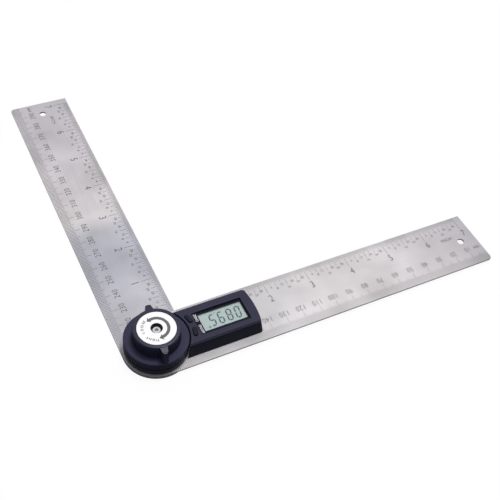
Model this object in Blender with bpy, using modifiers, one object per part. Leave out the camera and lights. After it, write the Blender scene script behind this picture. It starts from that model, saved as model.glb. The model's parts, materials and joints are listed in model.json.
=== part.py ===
"""Digital angle finder: two steel rule arms on one clamped pivot, with a reading head on the upper arm.

Frame: the pivot axis is +Z through the origin, z = 0 is the underside of the lower arm, and the
upper arm runs along +X. Every length is in metres.
"""
import math

import bmesh
import bpy
from mathutils import Matrix, Vector

# Arms
blade_length = 0.200          # pivot axis to the square far end
blade_width = 0.035
blade_thickness = 0.0010
blade_gap = 0.0004            # between the two arms, where the slip washer runs
arm_angle = math.radians(89.5)
corner_radius = 0.0020        # outer corner of each far end
hanging_hole_radius = 0.0020
hanging_hole_inset = 0.0100   # hole centre to the far end

# Clearances
running_gap = 0.0003          # between neighbouring pieces
film_gap = 0.0001             # thin pieces squeezed between two others
overrun = 0.0010              # how far a cutter passes through a face
socket_gap = 0.0002

# Pivot bolt
bolt_radius = 0.0040
bolt_head_radius = 0.0060
bolt_head_height = 0.0007
bolt_flat = 0.0034            # axis to each of the two flats
thread_radius = 0.0030
tip_radius = 0.0019
tip_height = 0.0006           # from the thread's end to the top of the knob's insert
tip_sink = 0.0016             # bolt's end below the label's face
hex_radius = 0.0011
hex_depth = 0.0012

# Round base, rotor and cap
disc_inset = 0.0009           # round base inside the arm's round end
base_rise = 0.0030            # arm face to the top of the base ring
base_floor = 0.0010
base_ring_wall = 0.0014
groove_height = 0.0007        # between the base ring and the turning cap
board_thickness = 0.0008
air_gap = 0.0005              # between the fixed and the turning electrode boards
hub_radius = 0.0060
hub_flange = 0.0020           # how far the hub's flange stands out
cap_height = 0.0047
cap_plate = 0.0012
cap_wall = 0.0013
cap_lip = 0.0006
cap_lip_edge = 0.0003
rib_depth = 0.0003
rib_count = 72

# Knob
knob_radius = 0.0125
knob_height = 0.0077
knob_top_share = 0.965        # radius at the top against the bottom
flute_depth = 0.0003
flute_count = 48
wing_width = 0.0027           # at the tip
wing_inset = 0.0003           # wing tip inside the cap's edge, at the bottom
wing_draft = 0.0011           # how far the wing tip leans in towards the top
wing_angle = math.radians(-4.5)
wing_drop = 0.0005            # how far the wing's top falls towards its tip
wing_edge = 0.0004
wing_root_width = 0.0043      # where the wing leaves the knob's side
knob_rim = 0.0014             # plain band above the flutes
knob_rim_edge = 0.0005
flute_shares = ((0.0, 0.0), (0.4, 0.0), (0.6, 1.0), (0.8, 1.0))  # turn and depth of a flute's points
knob_hole_radius = 0.0031
knob_shell = 0.0016
insert_radius = 0.0055
insert_height = 0.0046
label_rim = 0.0022            # knob's top edge to the label
label_thickness = 0.0003
label_sink = 0.0002           # label face below the knob's rim

# Reading head
near_groove = 0.0007          # between the cap and the head's hollow end
near_wall = 0.0010
wall = 0.0011
top_plate = 0.0009
side_draft = 0.00175
far_draft = 0.0010
far_bow = 0.0009
side_border = 0.00395         # recess edge to the head's top edge
far_border = 0.00515
head_corner = 0.0014
head_edge = 0.0005
recess_length = 0.0277
recess_shift = 0.00035        # recess centre towards the arm's outer edge
recess_corner = 0.0005
neck_half_width = 0.0070
ribbon_half_width = 0.0030
ribbon_thickness = 0.0002
ribbon_end_gap = 0.0017       # ribbon's end to the battery's side contact

# Buttons
button_length = 0.0052
button_width = 0.0019
button_proud = 0.0007
button_side_gap = 0.0003
button_ear = 0.0008           # how far the captive ears reach past each end
button_ear_height = 0.0006
button_travel = 0.0005
button_post_radius = 0.0008
button_angle = math.radians(12.3)
button_wall_gap = 0.00045
button_bar = 0.0010           # between the buttons and the recess
dome_radius = 0.0015
dome_height = 0.0003

# Display
window_thickness = 0.0004
window_lap = 0.0008           # window under the plate
window_near_lap = 0.0004
window_gap = 0.00015
panel_thickness = 0.0007
panel_near_inset = 0.0019
panel_inset = 0.0006
panel_side_inset = 0.0008
circuit_thickness = 0.0006    # the circuit board under the display
connector_height = 0.0016
connector_width = 0.0012
chip_share = 0.85             # chip's side against half the recess's width
chip_height = 0.0008

# Battery and its door
battery_radius = 0.0100
battery_thickness = 0.0032
battery_step = 0.0003
battery_step_inset = 0.0012
battery_sink = 0.0002         # battery's lower face below the arm's top face
battery_side_gap = 0.0004
well_strip = 0.00095          # floor left beside the battery well
contact_room = 0.0006         # between battery and circuit board
contact_thickness = 0.0002
contact_width = 0.0036
clip_foot = 0.0010            # length of the side contact's foot under the board
door_lap = 0.0009             # door past the battery's edge
door_thickness = 0.0005
ear_reach = 0.0013            # how far the door's ears pass its edge
ear_height = 0.0006
ear_half_angle = math.radians(14.0)
ear_side_angle = math.radians(4.0)
door_turn = math.radians(40.0)
coin_slot_length = 0.0130
coin_slot_width = 0.0018
coin_slot_depth = 0.00025

# Screws and posts
post_radius = 0.0016
screw_hole_radius = 0.0010
screw_radius = 0.0007
screw_head_radius = 0.0016
screw_head_height = 0.0007
driver_width = 0.0004
driver_depth = 0.0003
near_post_inset = 0.0002
far_post_outset = 0.0014

# Heights that follow
deck = 2 * blade_thickness + blade_gap
seat = deck + running_gap
floor_top = seat + base_floor
base_top = deck + base_rise
stator_bottom = floor_top + running_gap
stator_top = stator_bottom + board_thickness
rotor_bottom = stator_top + air_gap
rotor_top = rotor_bottom + board_thickness
cap_bottom = base_top + groove_height
cap_top = cap_bottom + cap_height
cap_ceiling = cap_top - cap_plate
knob_bottom = cap_top + running_gap
knob_top = knob_bottom + knob_height
insert_top = knob_bottom + insert_height
label_top = knob_top - label_sink
tip_top = label_top - tip_sink
battery_bottom = deck - battery_sink
battery_top = battery_bottom + battery_thickness
board_bottom = battery_top + contact_room
board_top = board_bottom + circuit_thickness
panel_bottom = board_top + connector_height + 2 * film_gap
panel_top = panel_bottom + panel_thickness
window_bottom = panel_top + window_gap
window_top = window_bottom + window_thickness
ceiling = window_top + window_gap
head_top = ceiling + top_plate
door_bottom = blade_thickness + blade_gap
door_top = door_bottom + door_thickness

# Places that follow
half_width = blade_width / 2
disc_radius = half_width - disc_inset
hub_hole = hub_radius + 2 * running_gap
near_radius = disc_radius + near_groove
door_radius = battery_radius + door_lap
near_inner = near_radius + near_wall
half_bottom = battery_radius + battery_side_gap + well_strip + running_gap + wall
half_top = half_bottom - side_draft
rim_radius = knob_radius * knob_top_share
label_radius = rim_radius - label_rim
button_place = near_inner + button_wall_gap + button_width / 2
recess_near = button_place + button_width / 2 + button_bar
recess_far = recess_near + recess_length
recess_half = half_top - side_border
chip_size = recess_half * chip_share
far_top = recess_far + far_border
far_bottom = far_top + far_draft
near_post_x = recess_near - near_post_inset
far_post_x = recess_far + far_post_outset
battery_x = (near_post_x + far_post_x) / 2
post_top = board_bottom - running_gap
clip_x = battery_x - battery_radius - battery_side_gap


def head_share(z):
    """How far z lies up the head's drafted side, from 0 at its foot to 1 at its top."""
    return (z - seat) / (head_top - seat)


def inner_half(z):
    return half_bottom - side_draft * head_share(z) - wall


post_y = inner_half(post_top) - running_gap - post_radius

# Start from an empty file, with one collection for the parts and one for the cutters.
for old in list(bpy.data.objects):
    bpy.data.objects.remove(old, do_unlink=True)
parts = bpy.data.collections.new("angle_finder")
cutters = bpy.data.collections.new("cutters")
bpy.context.scene.collection.children.link(parts)
bpy.context.scene.collection.children.link(cutters)


def finish(name, color, roughness, metallic=0.0, alpha=1.0):
    material = bpy.data.materials.new(name)
    material.use_nodes = True
    shader = material.node_tree.nodes["Principled BSDF"]
    shader.inputs["Base Color"].default_value = (*color, 1.0)
    shader.inputs["Roughness"].default_value = roughness
    shader.inputs["Metallic"].default_value = metallic
    shader.inputs["Alpha"].default_value = alpha
    return material


def add_mesh(name, shape, collection=cutters):
    mesh = bpy.data.meshes.new(name)
    bmesh.ops.recalc_face_normals(shape, faces=shape.faces)
    shape.to_mesh(mesh)
    shape.free()
    piece = bpy.data.objects.new(name, mesh)
    collection.objects.link(piece)
    if collection is cutters:
        piece.hide_render = True
        piece.display_type = "WIRE"
    return piece


def carry(piece, parent):
    """Put a piece, and the tools that shape it, under its parent."""
    piece.parent = parent
    for step in piece.modifiers:
        if step.type == "BOOLEAN":
            carry(step.object, parent)


def as_part(piece, material, parent=None):
    """Move a finished piece among the parts, with its material and its parent."""
    cutters.objects.unlink(piece)
    parts.objects.link(piece)
    piece.hide_render = False
    piece.display_type = "TEXTURED"
    piece.data.materials.clear()
    piece.data.materials.append(material)
    carry(piece, parent)
    piece.data.shade_smooth()
    piece.data.set_sharp_from_angle(angle=math.radians(30.0))
    return piece


def cone(name, low_radius, high_radius, low, high, x=0.0, y=0.0, sides=48, turn=0.0):
    shape = bmesh.new()
    bmesh.ops.create_cone(shape, cap_ends=True, segments=sides, radius1=low_radius,
                          radius2=high_radius, depth=high - low)
    bmesh.ops.rotate(shape, verts=shape.verts, matrix=Matrix.Rotation(turn, 3, "Z"))
    bmesh.ops.translate(shape, verts=shape.verts, vec=Vector((x, y, (low + high) / 2)))
    return add_mesh(name, shape)


def disc(name, radius, low, high, x=0.0, y=0.0, sides=48):
    return cone(name, radius, radius, low, high, x, y, sides)


def box(name, low, high):
    shape = bmesh.new()
    bmesh.ops.create_cube(shape, size=1.0)
    size = Vector(high) - Vector(low)
    bmesh.ops.scale(shape, verts=shape.verts, vec=size)
    bmesh.ops.translate(shape, verts=shape.verts, vec=(Vector(low) + Vector(high)) / 2)
    return add_mesh(name, shape)


def outline(name, loops, low, high):
    """Extrude a flat outline, whose later loops are holes, from one height to another."""
    curve = bpy.data.curves.new(name, "CURVE")
    curve.dimensions = "2D"
    curve.fill_mode = "BOTH"
    curve.extrude = (high - low) / 2
    for loop in loops:
        spline = curve.splines.new("POLY")
        spline.points.add(len(loop) - 1)
        for point, (x, y) in zip(spline.points, loop):
            point.co = (x, y, 0, 1)
        spline.use_cyclic_u = True
    drawn = bpy.data.objects.new(name, curve)
    cutters.objects.link(drawn)
    bpy.context.view_layer.update()
    drawn_mesh = bpy.data.meshes.new_from_object(drawn.evaluated_get(bpy.context.evaluated_depsgraph_get()))
    shape = bmesh.new()
    shape.from_mesh(drawn_mesh)
    bmesh.ops.remove_doubles(shape, verts=shape.verts, dist=film_gap / 10)
    bmesh.ops.translate(shape, verts=shape.verts, vec=(0, 0, (low + high) / 2))
    bpy.data.objects.remove(drawn, do_unlink=True)
    return add_mesh(name, shape)


def turned(name, profile, steps=48):
    """Turn a profile of (radius, height) points, top to bottom on its outer side, about Z."""
    mesh = bpy.data.meshes.new(name)
    closed = profile[0][0] > 0
    count = len(profile)
    edges = [(i, (i + 1) % count) for i in range(count if closed else count - 1)]
    mesh.from_pydata([(radius, 0, height) for radius, height in profile], edges, [])
    piece = bpy.data.objects.new(name, mesh)
    cutters.objects.link(piece)
    piece.hide_render = True
    piece.display_type = "WIRE"
    screw = piece.modifiers.new("turn", "SCREW")
    screw.steps = steps
    screw.render_steps = steps
    screw.use_merge_vertices = True
    screw.merge_threshold = film_gap / 10
    return piece


def combine(piece, tool, operation="DIFFERENCE"):
    step = piece.modifiers.new(tool.name, "BOOLEAN")
    step.operation = operation
    step.solver = "EXACT"
    step.object = tool


def cut(piece, *tools):
    for tool in tools:
        combine(piece, tool)


def join(piece, *tools):
    for tool in tools:
        combine(piece, tool, "UNION")


def arc(radius, start, end, steps, x=0.0, y=0.0):
    angles = [start + (end - start) * i / steps for i in range(steps + 1)]
    return [(x + radius * math.cos(a), y + radius * math.sin(a)) for a in angles]


def circle(radius, x=0.0, y=0.0, sides=48):
    return arc(radius, 0.0, math.tau, sides, x, y)[:-1]


def stadium(length, width):
    """A bar along Y with round ends."""
    radius = width / 2
    reach = length / 2 - radius
    return arc(radius, 0.0, math.pi, 8, 0, reach) + arc(radius, math.pi, math.tau, 8, 0, -reach)


def flatted_circle(radius, flat):
    """A circle with two flats across Y."""
    angle = math.asin(flat / radius)
    return arc(radius, -angle, angle, 10) + arc(radius, math.pi - angle, math.pi + angle, 10)


def rounded_box(x0, x1, y0, y1, radius):
    quarter = math.pi / 2
    return (arc(radius, 0, quarter, 4, x1 - radius, y1 - radius)
            + arc(radius, quarter, 2 * quarter, 4, x0 + radius, y1 - radius)
            + arc(radius, 2 * quarter, 3 * quarter, 4, x0 + radius, y0 + radius)
            + arc(radius, 3 * quarter, 4 * quarter, 4, x1 - radius, y0 + radius))


def milled_circle(radius, depth, count):
    """A circle with flutes, each of four points: two on the circle and two at the flute's depth."""
    points = []
    for i in range(count):
        for turn_share, sink_share in flute_shares:
            angle = math.tau * (i + turn_share) / count
            reach = radius - depth * sink_share
            points.append((reach * math.cos(angle), reach * math.sin(angle)))
    return points


def sector(low_radius, high_radius, start, end, low, high, name, x=0.0):
    outer = arc(high_radius, start, end, 8, x)
    inner = arc(low_radius, end, start, 8, x)
    return outline(name, [outer + inner], low, high)


def head_ring(half, far, corner, near):
    """The head's outline seen from above: square at the near end, bowed at the far end."""
    edge = far - far_bow
    bow = [(edge - corner + corner * math.cos(a), -half + corner + corner * math.sin(a))
           for a in [math.radians(-90 + 22.5 * i) for i in range(5)]]
    rise = half - corner
    middle = [(edge + far_bow * (1 - (s / 4) ** 2), rise * s / 4) for s in range(-3, 4)]
    mirrored = [(x, -y) for x, y in reversed(bow)]
    return [(near, -half)] + bow + middle + mirrored + [(near, half)]


def drafted_head(name, inset, low, high, edge=0.0):
    """A block that leans in as the head's sides do, set in from them by the inset."""
    shape = bmesh.new()
    rings = []
    for z in (low, high):
        half = half_bottom - side_draft * head_share(z) - inset
        far = far_bottom - far_draft * head_share(z) - inset
        points = head_ring(half, far, head_corner, 0.0)
        rings.append([shape.verts.new((x, y, z)) for x, y in points])
    shape.faces.new(reversed(rings[0]))
    top = shape.faces.new(rings[1])
    count = len(rings[0])
    for i in range(count):
        j = (i + 1) % count
        shape.faces.new((rings[0][i], rings[0][j], rings[1][j], rings[1][i]))
    if edge:
        bmesh.ops.bevel(shape, geom=list(top.edges), offset=edge, segments=2, affect="EDGES")
    return add_mesh(name, shape)


steel = finish("ground steel", (0.62, 0.60, 0.62), 0.32, 1.0)
bolt_steel = finish("bolt steel", (0.55, 0.55, 0.57), 0.28, 1.0)
black_plastic = finish("black plastic", (0.036, 0.036, 0.058), 0.45)
knob_plastic = finish("knob plastic", (0.030, 0.030, 0.052), 0.42)
slip_plastic = finish("slip plastic", (0.80, 0.80, 0.78), 0.50)
white_label = finish("white label", (0.92, 0.92, 0.92), 0.55)
brass = finish("brass", (0.72, 0.53, 0.24), 0.35, 1.0)
green_board = finish("green board", (0.03, 0.20, 0.08), 0.45)
clear_window = finish("clear window", (0.75, 0.78, 0.80), 0.08, alpha=0.35)
display_glass = finish("display glass", (0.30, 0.38, 0.36), 0.25)
connector_rubber = finish("connector rubber", (0.75, 0.60, 0.62), 0.60)
chip_resin = finish("chip resin", (0.02, 0.02, 0.02), 0.55)
spring_steel = finish("spring steel", (0.70, 0.68, 0.62), 0.30, 1.0)
battery_steel = finish("battery steel", (0.66, 0.66, 0.68), 0.25, 1.0)
ribbon_film = finish("ribbon film", (0.62, 0.34, 0.08), 0.40)

arm_axis = bpy.data.objects.new("arm_axis", None)
knob_axis = bpy.data.objects.new("knob_axis", None)
door_axis = bpy.data.objects.new("door_axis", None)
for empty in (arm_axis, knob_axis, door_axis):
    parts.objects.link(empty)
arm_axis.rotation_euler.z = arm_angle
knob_axis.parent = arm_axis
door_axis.location.x = battery_x

post_places = [(x, side * post_y) for x in (near_post_x, far_post_x) for side in (-1, 1)]


def blade_loop(outer):
    """One arm from above, along +X, with its outer edge at -Y or +Y."""
    start = math.pi / 2
    end = arc(corner_radius, 0.0, start, 6, blade_length - corner_radius, half_width - corner_radius)
    loop = arc(half_width, start, 3 * start, 40) + [(blade_length, -half_width)] + end
    return loop if outer > 0 else [(x, -y) for x, y in reversed(loop)]


def hanging_hole():
    return circle(hanging_hole_radius, blade_length - hanging_hole_inset, 0.0, 24)


def make_upper_blade():
    """The display arm: pivot hole, hanging hole, battery hole with two ear notches, four screw holes."""
    low = door_bottom
    hole = door_radius + running_gap
    notch = hole + ear_reach
    spread = ear_half_angle + ear_side_angle
    rim = []
    for side in (0.0, math.pi):
        rim += arc(notch, side + door_turn - spread, side + door_turn + spread, 6, battery_x)
        rim += arc(hole, side + door_turn + spread, side + door_turn - spread + math.pi, 20, battery_x)
    loops = [blade_loop(-1), circle(bolt_radius + running_gap, sides=32), hanging_hole(), rim]
    loops += [circle(screw_hole_radius, x, y, 16) for x, y in post_places]
    blade = outline("upper_blade", loops, low, deck)
    for i, (x, y) in enumerate(post_places):
        sink = cone(f"countersink_{i}", screw_head_radius + running_gap, screw_hole_radius - film_gap,
                    low - film_gap, low + screw_head_height + film_gap, x, y, 16)
        cut(blade, sink)
    return as_part(blade, steel)


def make_lower_blade():
    blade = outline("lower_blade", [blade_loop(1), circle(bolt_radius + running_gap, sides=32),
                                    hanging_hole()], 0.0, blade_thickness)
    seat_cone = cone("bolt_seat", bolt_head_radius + 2 * running_gap, bolt_radius + film_gap,
                     -film_gap, bolt_head_height + film_gap, sides=32)
    cut(blade, seat_cone)
    return as_part(blade, steel, arm_axis)


def make_pivot_bolt():
    """Countersunk head in the lower arm, flatted shank through the hub, thread and dog point."""
    shank_top = cap_top - film_gap
    thread_top = insert_top - tip_height
    profile = [(0, tip_top), (tip_radius, tip_top), (tip_radius, thread_top),
               (thread_radius, thread_top), (thread_radius, shank_top), (bolt_radius, shank_top),
               (bolt_radius, bolt_head_height), (bolt_head_radius, 0), (0, 0)]
    bolt = turned("pivot_bolt", profile, 32)
    reach = bolt_radius + overrun
    for side in (-1, 1):
        near, far = sorted((side * bolt_flat, side * reach))
        cut(bolt, box(f"bolt_flat_{side}", (-reach, near, seat), (reach, far, shank_top + film_gap)))
    cut(bolt, disc("hex_socket", hex_radius, tip_top - hex_depth, tip_top + overrun, sides=6))
    return as_part(bolt, bolt_steel, arm_axis)


def make_washers():
    inner = bolt_radius + running_gap
    low = blade_thickness + film_gap
    high = door_bottom - film_gap
    loops = [circle(disc_radius - 2 * wall), circle(inner)]
    as_part(outline("slip_washer", loops, low, high), slip_plastic, arm_axis)
    low = deck + film_gap
    loops = [circle(hub_radius), circle(inner)]
    as_part(outline("thrust_washer", loops, low, low + film_gap), spring_steel, arm_axis)


def make_rotor():
    """The flatted hub that turns with the bolt, with the electrode disc under its flange."""
    foot = deck + 3 * film_gap
    flange_radius = hub_radius + hub_flange
    flange_low = rotor_top + running_gap
    flange_high = cap_ceiling - running_gap
    hub = disc("rotor_hub", hub_radius, foot, cap_top)
    join(hub, disc("hub_flange", flange_radius, flange_low, flange_high))
    bore = flatted_circle(bolt_radius + running_gap, bolt_flat + socket_gap)
    cut(hub, outline("hub_bore", [bore], foot - overrun, cap_top + overrun))
    as_part(hub, brass, arm_axis)
    rim = disc_radius - cap_wall - 2 * running_gap
    loops = [circle(rim), circle(hub_radius + running_gap)]
    as_part(outline("rotor_disc", loops, rotor_bottom, rotor_top), green_board, arm_axis)


def make_pivot_cap():
    """The ribbed round cap that turns with the lower arm."""
    lip_low = cap_top - cap_lip
    ribs = milled_circle(disc_radius - film_gap, rib_depth, rib_count)
    cap = outline("pivot_cap", [ribs], cap_bottom, lip_low)
    edge = disc_radius - cap_lip_edge
    lip = turned("cap_lip", [(0, cap_top), (edge, cap_top), (disc_radius, cap_top - cap_lip_edge),
                             (disc_radius, lip_low - cap_lip_edge), (0, lip_low - cap_lip_edge)], 72)
    join(cap, lip)
    cut(cap, disc("cap_hollow", disc_radius - cap_wall, cap_bottom - overrun, cap_ceiling, sides=64))
    cut(cap, disc("cap_hole", hub_radius + running_gap, cap_ceiling - overrun, cap_top + overrun))
    return as_part(cap, black_plastic, arm_axis)


def make_knob():
    """Fluted knob with two wings, a pocket for the brass insert and a sunk face for the label."""
    loop = milled_circle(knob_radius - film_gap, flute_depth, flute_count)
    knob = outline("knob_body", [loop], knob_bottom, knob_top - knob_rim)
    middle = (knob_bottom + knob_top) / 2
    for vertex in knob.data.vertices:
        if vertex.co.z > middle:
            vertex.co.x *= knob_top_share
            vertex.co.y *= knob_top_share
    rim_low = knob_top - knob_rim - knob_rim_edge
    corner = arc(knob_rim_edge, math.pi / 2, 0, 4, rim_radius - knob_rim_edge, knob_top - knob_rim_edge)
    rim = turned("knob_rim", [(0, knob_top)] + corner + [(rim_radius, rim_low), (0, rim_low)], 72)
    join(knob, rim)
    for i in range(2):
        join(knob, make_wing(f"wing_{i}", wing_angle + math.pi * i))
    face = label_top - label_thickness - film_gap
    pocket_radius = insert_radius + running_gap
    pocket_top = insert_top + running_gap
    cut(knob, disc("label_recess", label_radius + running_gap, face, knob_top + overrun, sides=64))
    cut(knob, disc("insert_pocket", pocket_radius, knob_bottom - overrun, pocket_top))
    cut(knob, disc("knob_hole", knob_hole_radius, pocket_top - overrun, face + overrun, sides=32))
    outer = rim_radius - flute_depth - knob_shell
    inner = pocket_radius + knob_shell
    hollow = outline("knob_hollow", [circle(outer), circle(inner)], knob_bottom - overrun,
                     pocket_top)
    cut(knob, hollow)
    as_part(knob, knob_plastic, knob_axis)
    loops = [circle(insert_radius, sides=12), circle(thread_radius + running_gap, sides=32)]
    as_part(outline("knob_insert", loops, knob_bottom, insert_top), brass, knob_axis)
    loops = [circle(label_radius, sides=64), circle(knob_hole_radius, sides=32)]
    label = outline("knob_label", loops, label_top - label_thickness, label_top)
    as_part(label, white_label, knob_axis)


def make_wing(name, angle):
    """One finger wing: a block whose outer end leans in towards the top, edges rounded."""
    tip = disc_radius - wing_inset
    root = knob_radius - knob_shell
    shape = bmesh.new()
    bmesh.ops.create_cube(shape, size=1.0)
    high = knob_top - film_gap
    low = knob_bottom + film_gap
    bmesh.ops.scale(shape, verts=shape.verts, vec=(tip - root, wing_root_width, high - low))
    bmesh.ops.translate(shape, verts=shape.verts, vec=((tip + root) / 2, 0, (low + high) / 2))
    for vertex in shape.verts:
        if vertex.co.x > (tip + root) / 2:
            vertex.co.y *= wing_width / wing_root_width
            if vertex.co.z > (low + high) / 2:
                vertex.co.x -= wing_draft
                vertex.co.z -= wing_drop
    outer = [e for e in shape.edges if all(v.co.x > (tip + root) / 2 for v in e.verts)
             and any(v.co.z > (low + high) / 2 for v in e.verts)]
    bmesh.ops.bevel(shape, geom=outer, offset=wing_edge, segments=2, affect="EDGES")
    bmesh.ops.rotate(shape, verts=shape.verts, matrix=Matrix.Rotation(angle, 3, "Z"))
    return add_mesh(name, shape)


def make_housing_base():
    """Round tray under the cap, joined by a neck to the floor of the head, with four screw posts."""
    tray = disc_radius - base_ring_wall
    base = disc("housing_base", disc_radius, seat, base_top, sides=72)
    cut(base, disc("stator_pocket", tray, floor_top, base_top + overrun, sides=64))
    floor = drafted_head("base_floor", wall + running_gap, seat, floor_top)
    cut(floor, disc("floor_end", near_inner + running_gap, seat - overrun, floor_top + overrun, sides=72))
    neck = box("base_neck", (tray - wall, -neck_half_width, seat),
               (near_inner + 2 * wall, neck_half_width, floor_top))
    join(base, neck, floor)
    for i, (x, y) in enumerate(post_places):
        join(base, disc(f"base_post_{i}", post_radius, floor_top - film_gap, post_top, x, y, 20))
    half = ribbon_half_width + 2 * running_gap
    cut(base, disc("hub_hole", hub_hole, seat - overrun, floor_top + overrun))
    cut(base, box("ribbon_notch", (tray - wall, -half, floor_top),
                  (near_radius, half, base_top + overrun)))
    for i, (x, y) in enumerate(post_places):
        cut(base, disc(f"post_hole_{i}", screw_hole_radius, seat - overrun, post_top + overrun, x, y, 16))
    well = disc("battery_well", battery_radius + battery_side_gap, seat - overrun, floor_top + overrun,
                battery_x)
    spread = ear_half_angle + ear_side_angle
    sweep = door_radius + ear_reach + running_gap
    for i, side in enumerate((0.0, math.pi)):
        room = sector(battery_radius, sweep, side - spread, side + door_turn + spread,
                      seat - overrun, floor_top + overrun, f"ear_room_{i}", battery_x)
        cut(base, room)
    cut(base, well)
    return as_part(base, black_plastic)


def make_button_shape(name, side, grow, low, high, longer=0.0):
    """One button bar or its slot, lying along the tangent beside the cap."""
    turn = side * button_angle
    cosine, sine = math.cos(turn), math.sin(turn)
    points = stadium(button_length + 2 * grow + 2 * longer, button_width + 2 * grow)
    moved = [((x + button_place) * cosine - y * sine, (x + button_place) * sine + y * cosine)
             for x, y in points]
    return outline(name, [moved], low, high)


def make_housing_cover():
    """Upper shell of the head, with display recess, two button slots and four screw bosses."""
    cover = drafted_head("housing_cover", 0.0, seat, head_top, head_edge)
    hollow = drafted_head("cover_hollow", wall, seat - overrun, ceiling)
    cut(hollow, disc("near_wall_keep", near_inner, seat - 2 * overrun, head_top, sides=72))
    cut(cover, hollow)
    cut(cover, disc("near_end", near_radius, seat - overrun, head_top + overrun, sides=72))
    for i, (x, y) in enumerate(post_places):
        join(cover, disc(f"boss_{i}", post_radius, board_top + running_gap, ceiling + film_gap, x, y, 20))
    for i, (x, y) in enumerate(post_places):
        pilot = disc(f"pilot_{i}", screw_hole_radius, board_top, window_bottom, x, y, 16)
        cut(cover, pilot)
    opening = rounded_box(recess_near, recess_far, -recess_shift - recess_half,
                          -recess_shift + recess_half, recess_corner)
    cut(cover, outline("recess", [opening], ceiling - running_gap, head_top + overrun))
    for side, name in ((1, "zero_slot"), (-1, "power_slot")):
        slot = make_button_shape(name, side, button_side_gap, ceiling - overrun, head_top + overrun)
        cut(cover, slot)
    passage_half = neck_half_width + running_gap
    passage = box("neck_passage", (0, -passage_half, seat - overrun),
                  (near_inner + wall, passage_half, base_top))
    cut(cover, passage)
    return as_part(cover, black_plastic)


def make_boards():
    """Fixed electrode board, its ribbon, the circuit board and what sits on it."""
    tray = disc_radius - base_ring_wall - running_gap
    as_part(outline("stator_board", [circle(tray), circle(hub_hole)], stator_bottom, stator_top),
            green_board)
    board = drafted_head("circuit_board", wall + running_gap, board_bottom, board_top)
    cut(board, disc("board_end", near_inner + running_gap, board_bottom - overrun,
                    board_top + overrun, sides=72))
    for i, (x, y) in enumerate(post_places):
        cut(board, disc(f"board_hole_{i}", screw_hole_radius, board_bottom - overrun,
                        board_top + overrun, x, y, 16))
    as_part(board, green_board)
    make_ribbon()
    for side, name in ((1, "zero_dome"), (-1, "power_dome")):
        x = button_place * math.cos(button_angle)
        y = side * button_place * math.sin(button_angle)
        low = board_top + film_gap
        dome = cone(name, dome_radius, dome_radius / 2, low, low + dome_height, x, y, 20)
        as_part(dome, spring_steel)
    low = board_top + film_gap
    chip_x = battery_x
    chip = box("control_chip", (chip_x - chip_size / 2, -chip_size / 2, low),
               (chip_x + chip_size / 2, chip_size / 2, low + chip_height))
    as_part(chip, chip_resin)


def make_ribbon():
    """Flat film from the fixed electrode board, through the base ring, up to the circuit board."""
    low = stator_top + film_gap
    high = board_bottom - film_gap - ribbon_thickness
    start = disc_radius - 2 * base_ring_wall
    bend = near_inner + running_gap
    stop = clip_x - contact_thickness - ribbon_end_gap
    path = [(start, low), (bend, low), (bend + wall, high), (stop, high)]
    upper = [(x, z + ribbon_thickness) for x, z in reversed(path)]
    ribbon = outline("sensor_ribbon", [path + upper], -ribbon_half_width, ribbon_half_width)
    for vertex in ribbon.data.vertices:
        vertex.co = (vertex.co.x, -vertex.co.z, vertex.co.y)
    as_part(ribbon, ribbon_film)


def make_display():
    side_low = -recess_shift - recess_half
    side_high = -recess_shift + recess_half
    window = box("display_window",
                 (recess_near - window_near_lap, side_low - window_lap, window_bottom),
                 (recess_far + window_lap, side_high + window_lap, window_top))
    for i, (x, y) in enumerate(post_places):
        cut(window, disc(f"window_notch_{i}", post_radius + running_gap, window_bottom - overrun,
                         window_top + overrun, x, y, 20))
    as_part(window, clear_window)
    left = recess_near + panel_near_inset
    right = recess_far - panel_inset
    low = side_low + panel_inset
    high = side_high - panel_side_inset
    panel = box("display_panel", (left, low, panel_bottom), (right, high, panel_top))
    as_part(panel, display_glass)
    bottom = board_top + film_gap
    for name, y in (("display_connector_outer", low), ("display_connector_inner", high - connector_width)):
        strip = box(name, (left + connector_width, y, bottom),
                    (right - connector_width, y + connector_width, bottom + connector_height))
        as_part(strip, connector_rubber)


def make_buttons():
    """Two bar buttons, each captive by its ears under the cover, with a post over its dome."""
    ear_top = ceiling - running_gap
    ear_low = ear_top - button_ear_height
    foot = board_top + 2 * film_gap + dome_height + button_travel
    for side, name in ((1, "zero_button"), (-1, "power_button")):
        button = make_button_shape(name, side, 0.0, ear_low, head_top + button_proud)
        join(button, make_button_shape(f"{name}_ears", side, 0.0, ear_low, ear_top, button_ear))
        x = button_place * math.cos(button_angle)
        y = side * button_place * math.sin(button_angle)
        join(button, disc(f"{name}_post", button_post_radius, foot, ear_low + film_gap, x, y, 16))
        as_part(button, black_plastic)


def make_battery():
    low, high = battery_bottom, battery_top
    rim = high - battery_step
    inner = battery_radius - battery_step_inset
    cell = turned("coin_cell", [(0, high), (inner, high), (inner, rim), (battery_radius, rim),
                                (battery_radius, low), (0, low)])
    cell.location.x = battery_x
    as_part(cell, battery_steel)
    half = contact_width / 2
    top = board_bottom - film_gap
    clip = box("battery_clip", (clip_x - contact_thickness, -half, floor_top), (clip_x, half, top))
    foot_end = clip_x - contact_thickness - clip_foot
    join(clip, box("clip_foot", (foot_end, -half, top - contact_thickness), (clip_x, half, top)))
    as_part(clip, spring_steel)
    make_battery_spring(half)


def make_battery_spring(half):
    """A bowed leaf between the cell's face and the circuit board."""
    low = battery_top + film_gap
    rise = board_bottom - film_gap - contact_thickness - low
    reach = battery_radius / 2
    path = [(battery_x + reach * s / 4, low + rise * (s / 4) ** 2) for s in range(-4, 5)]
    upper = [(x, z + contact_thickness) for x, z in reversed(path)]
    spring = outline("battery_spring", [path + upper], -half, half)
    for vertex in spring.data.vertices:
        vertex.co = (vertex.co.x, -vertex.co.z, vertex.co.y)
    as_part(spring, spring_steel)


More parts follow.
